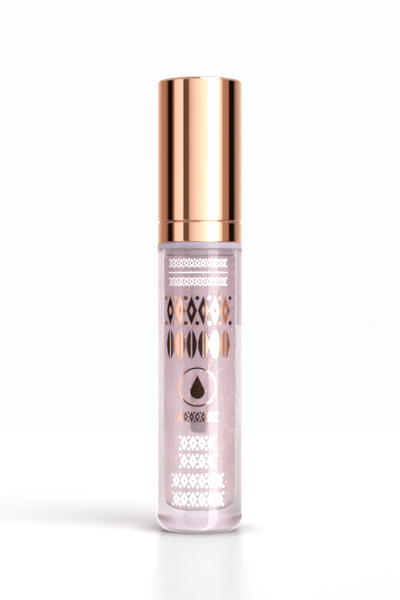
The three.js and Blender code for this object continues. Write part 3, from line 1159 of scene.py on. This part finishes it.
def half_leaf(x, z, width, height, side):
    """Half of a pointed upright leaf. side is -1 for the left half and 1 for the right one."""
    curve = []
    for k in range(LEAF_STEPS + 1):
        up = 2 * k / LEAF_STEPS - 1
        bulge = math.cos(up * math.pi / 2) ** LEAF_FULLNESS
        curve.append((x + side * width / 2 * bulge, z + up * height / 2))
    return curve


def bar(x, z, width, height):
    """A plain rectangle."""
    left, right = x - width / 2, x + width / 2
    low, high = z - height / 2, z + height / 2
    return [(left, low), (right, low), (right, high), (left, high)]


def drop(x, z, width, height):
    """A drop with its point up, whose lower end is most of a circle."""
    result = []
    radius = width / 2
    low = z - height / 2 + radius
    for k in range(DROP_STEPS + 1):
        a = math.radians(DROP_START + DROP_SWEEP * k / DROP_STEPS)
        result.append((x + radius * math.cos(a), low + radius * math.sin(a)))
    result.append((x, z + height / 2))
    return result


def spaced(count, pitch):
    """The places of a row of shapes with its middle at 0."""
    return [pitch * (k - (count - 1) / 2) for k in range(count)]


def lozenge_band(z, count, pitch, height, hole):
    """A row of lozenges with a dot over and under each gap. hole is a share of their size."""
    shapes = []
    width = pitch - LOZENGE_GAP
    for x in spaced(count, pitch):
        shapes.append([lozenge(x, z, width, height), lozenge(x, z, width * hole, height * hole)])
    size = DOT_SHARE * pitch
    for x in spaced(count + 1, pitch):
        for side in (-1, 1):
            shapes.append([ellipse(x, z + side * (height - size) / 2, size, size, DOT_POINTS)])
    return shapes


# Bands of lozenges: height of the middle, count, pitch, height of the band, size of the holes.
WHITE_BANDS = [
    (58.95 * MM, 11, 1.22 * MM, 1.9 * MM, 0.55),
    (54.9 * MM, 11, 1.22 * MM, 1.9 * MM, 0.55),
    (19.8 * MM, 4, 1.95 * MM, 3.2 * MM, 0.3),
    (15.9 * MM, 4, 1.95 * MM, 3.2 * MM, 0.3),
    (11.6 * MM, 6, 1.95 * MM, 3.2 * MM, 0.3),
    (7.6 * MM, 6, 1.95 * MM, 3.2 * MM, 0.3),
]
RULE = (0, 56.9 * MM, 14.2 * MM, 0.22 * MM)
FOIL_BANDS = [
    (48.6 * MM, 6, 2.6 * MM, 6.4 * MM, 0.34),
    (25.5 * MM, 7, 1.3 * MM, 2.3 * MM, 0.4),
]
LEAVES = 6
LEAF_PITCH = 2.6 * MM
LEAF_GAP = 0.17 * MM  # from a leaf's middle to each half
LEAF = (41.25 * MM, 2.0 * MM, 6.4 * MM)  # height of the middle, width, height
RING_MIDDLE = 32 * MM
RING_OUTER, RING_INNER = 8.6 * MM, 7.9 * MM
DROP = (3.2 * MM, 5.2 * MM)


def white_ornament(material):
    """The white print: a thin line and the bands of small lozenges."""
    shapes = [[bar(*RULE)]]
    for band in WHITE_BANDS:
        shapes += lozenge_band(*band)
    return wrapped("white_ornament", shapes, material, "soft_white")


def foil_ornament(material):
    """The foil print: two bands of lozenges, a row of split leaves, and a ring round a drop."""
    shapes = []
    for band in FOIL_BANDS:
        shapes += lozenge_band(*band)
    for x in spaced(LEAVES, LEAF_PITCH):
        for side in (-1, 1):
            shapes.append([half_leaf(x + side * LEAF_GAP, *LEAF, side)])
    ring = [ellipse(0, RING_MIDDLE, size, size, RING_POINTS) for size in (RING_OUTER, RING_INNER)]
    shapes.append(ring)
    shapes.append([drop(0, RING_MIDDLE, *DROP)])
    return wrapped("foil_ornament", shapes, material, "rose_gold")


# ---- Assembly ------------------------------------------------------------------------------

BOUNCES = {
    "max_bounces": 40,
    "transmission_bounces": 40,
    "glossy_bounces": 24,
    "diffuse_bounces": 10,
}


def main():
    """Sets the scene and makes every piece."""
    scene = bpy.context.scene
    scene.view_settings.view_transform = "Standard"
    scene.cycles.use_denoising = True
    scene.cycles.blur_glossy = 0.0
    for name, count in BOUNCES.items():
        setattr(scene.cycles, name, count)
    camera()
    studio()
    floor()

    metal = rose_gold_mirror()
    turned_piece("cap_cover", "cap_shell", metal, "cap", FINE)
    turned_piece("collar", "collar_ring", metal, "bottle", FINE)

    bottle(clear_plastic(), wetted_plastic())
    gloss(gloss_liquid(), gloss_surface(), gloss_round_wand())
    flecks(gold_flecks())

    neck = neck_plastic()
    threaded_piece("neck_moulding", "neck_piece", neck, "bottle", NECK_THREAD_START, True)
    soft = moulded_plastic("soft_white", (0.86, 0.83, 0.86), (0.92, 0.9, 0.92), 0.4, 0.3)
    turned_piece("wiper_plug", "wiper", soft, "bottle")

    white = moulded_plastic("inner_white", rgb("eae8e5"), rgb("f5f3f1"), 0.35)
    threaded_piece(
        "inner_cap_moulding", "inner_cap", white, "cap", CAP_THREAD_START, False, inner_cap_ribs
    )
    turned_piece("liner_washer", "seal_washer", foam(), "liner")
    turned_piece("steel_weight", "cap_weight", turned_steel(), "weight")

    rod = moulded_plastic("rod_plastic", (0.9, 0.89, 0.9), (0.94, 0.93, 0.94), 0.3, ior=1.3)
    turned_piece("wand_rod", "applicator_rod", rod, "cap")
    flocked_tip(wet_flock())
    core = moulded_plastic("tip_rubber", rgb("d9cdd4"), rgb("e6dce2"), 0.45)
    tip_core(core)

    white_ornament(white_print())
    foil_ornament(foil_print())


main()
